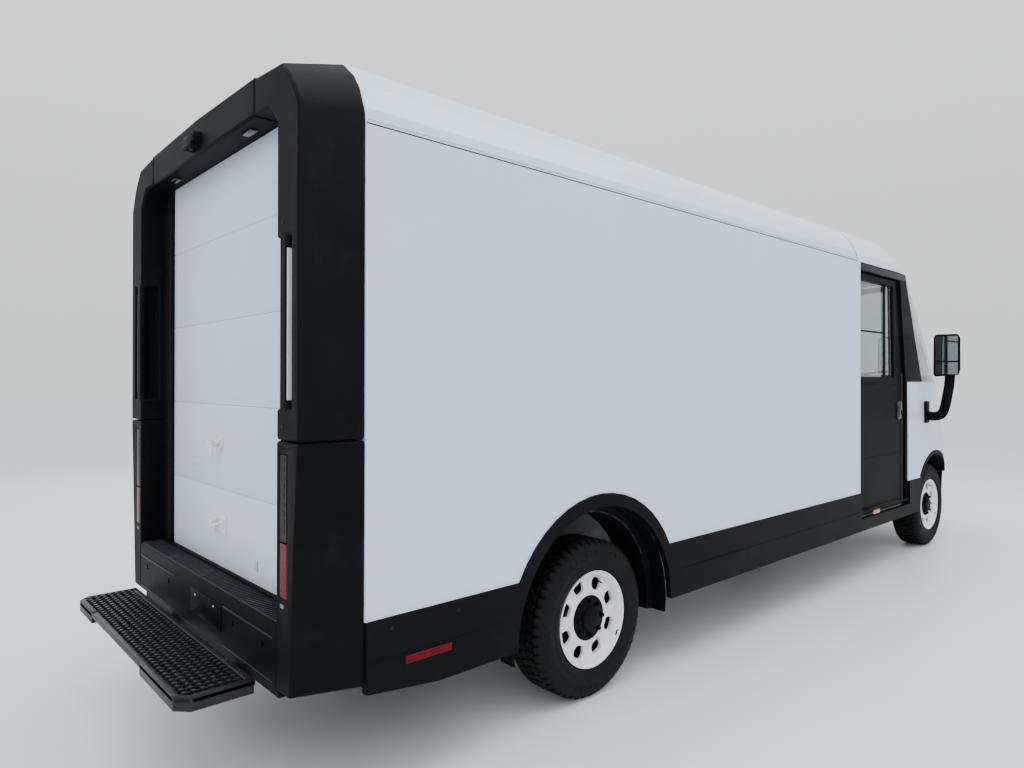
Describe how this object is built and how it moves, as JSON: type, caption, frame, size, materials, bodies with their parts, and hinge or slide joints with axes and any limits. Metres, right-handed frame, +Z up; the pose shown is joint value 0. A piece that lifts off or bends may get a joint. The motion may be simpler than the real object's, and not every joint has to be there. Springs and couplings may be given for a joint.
{
  "type": "cargo van",
  "caption": "Walk-in cargo van with a long white load box, black mouldings, sliding cab doors, rear roll-up door and step.",
  "frame": {"origin": "on the ground, at the middle of the box round the whole van", "axes": "+X forward, +Y to the van's left, +Z up"},
  "size_m": [7.37, 2.586, 2.695],
  "materials": {
    "white_paint": "smooth white body paint",
    "black_plastic": "grained black moulding",
    "black_paint": "satin black panel",
    "chassis_steel": "black chassis coating",
    "tyre_rubber": "matt tyre rubber",
    "wheel_paint": "white wheel paint",
    "cab_glass": "lightly tinted glass",
    "floor_coating": "non-slip floor coating",
    "cab_trim": "moulded cab trim",
    "seat_fabric": "woven seat cloth",
    "lamp_red": "dark red lens",
    "lamp_clear": "clear lamp lens"
  },
  "bodies": {
    "van": {"battery_pack": "chassis_steel", "bulkhead": "white_paint", "cab_floor": "floor_coating", "cab_roof": "white_paint", "cargo_floor": "floor_coating", "cargo_roof": "white_paint", "chassis_frame": "chassis_steel", "dashboard": "cab_trim", "door_frame_left": "black_plastic", "door_frame_right": "black_plastic", "front_axle": "chassis_steel", "front_bumper": "black_plastic", "front_fascia": "black_paint", "lamp_bar": "lamp_clear", "mirror_left": "black_plastic", "mirror_right": "black_plastic", "rear_axle": "chassis_steel", "rear_bumper": "black_plastic", "rear_door": "white_paint", "rear_door_lock": "wheel_paint", "rear_header": "black_plastic", "rear_lower_pillar_left": "black_plastic", "rear_lower_pillar_right": "black_plastic", "rear_pillar_left": "black_plastic", "rear_pillar_right": "black_plastic", "rear_step": "black_plastic", "seat_base": "cab_trim", "seat_pad": "seat_fabric", "side_cladding_left": "black_plastic", "side_cladding_right": "black_plastic", "side_wall_left": "white_paint", "side_wall_right": "white_paint", "tail_lamp_left": "lamp_red", "tail_lamp_right": "lamp_red", "wheel_housing_left": "black_plastic", "wheel_housing_right": "black_plastic", "windscreen": "cab_glass", "wing_left": "white_paint", "wing_right": "white_paint"},
    "wheel_front_left": {"tyre_front_left": "tyre_rubber", "rim_front_left": "wheel_paint"},
    "wheel_rear_left": {"tyre_rear_left": "tyre_rubber", "rim_rear_left": "wheel_paint"},
    "steering_knuckle_left": {"knuckle_left": "chassis_steel"},
    "door_left": {"cab_door_left": "black_paint", "door_glass_left": "cab_glass"},
    "wheel_front_right": {"tyre_front_right": "tyre_rubber", "rim_front_right": "wheel_paint"},
    "wheel_rear_right": {"tyre_rear_right": "tyre_rubber", "rim_rear_right": "wheel_paint"},
    "steering_knuckle_right": {"knuckle_right": "chassis_steel"},
    "door_right": {"cab_door_right": "black_paint", "door_glass_right": "cab_glass"},
    "steering_wheel_body": {"steering_wheel": "cab_trim"},
    "bulkhead_door_body": {"bulkhead_door": "white_paint"},
    "hood_lid": {"hood": "white_paint"}
  },
  "joints": [
    {"name": "steer_left", "type": "hinge", "parent": "van", "child": "steering_knuckle_left", "pos_m": [2.76, 0.8, 0.371], "axis": [0, 0, 1], "range_deg": [-35, 35]},
    {"name": "wheel_front_left_spin", "type": "hinge", "parent": "steering_knuckle_left", "child": "wheel_front_left", "pos_m": [2.76, 0.8525, 0.371], "axis": [0, 1, 0], "continuous": true},
    {"name": "wheel_rear_left_spin", "type": "hinge", "parent": "van", "child": "wheel_rear_left", "pos_m": [-1.895, 0.8525, 0.371], "axis": [0, 1, 0], "continuous": true},
    {"name": "door_left_slide", "type": "slide", "parent": "van", "child": "door_left", "axis": [-1, 0, 0], "range_m": [0, 0.8]},
    {"name": "steer_right", "type": "hinge", "parent": "van", "child": "steering_knuckle_right", "pos_m": [2.76, -0.8, 0.371], "axis": [0, 0, 1], "range_deg": [-35, 35]},
    {"name": "wheel_front_right_spin", "type": "hinge", "parent": "steering_knuckle_right", "child": "wheel_front_right", "pos_m": [2.76, -0.8525, 0.371], "axis": [0, 1, 0], "continuous": true},
    {"name": "wheel_rear_right_spin", "type": "hinge", "parent": "van", "child": "wheel_rear_right", "pos_m": [-1.895, -0.8525, 0.371], "axis": [0, 1, 0], "continuous": true},
    {"name": "door_right_slide", "type": "slide", "parent": "van", "child": "door_right", "axis": [-1, 0, 0], "range_m": [0, 0.8]},
    {"name": "steering_wheel_turn", "type": "hinge", "parent": "van", "child": "steering_wheel_body", "pos_m": [2.2, 0.45, 1.26], "axis": [-0.6428, 0, 0.766], "range_deg": [-560, 560]},
    {"name": "bulkhead_door_slide", "type": "slide", "parent": "van", "child": "bulkhead_door_body", "axis": [0, 1, 0], "range_m": [0, 0.62]},
    {"name": "hood_hinge", "type": "hinge", "parent": "van", "child": "hood_lid", "pos_m": [3.24, 0, 1.485], "axis": [0, -1, 0], "range_deg": [0, 60]}
  ],
  "couplings": [
    {"joint": "steer_right", "follows": "steer_left", "ratio": 1},
    {"joint": "steering_wheel_turn", "follows": "steer_left", "ratio": 15.5}
  ]
}
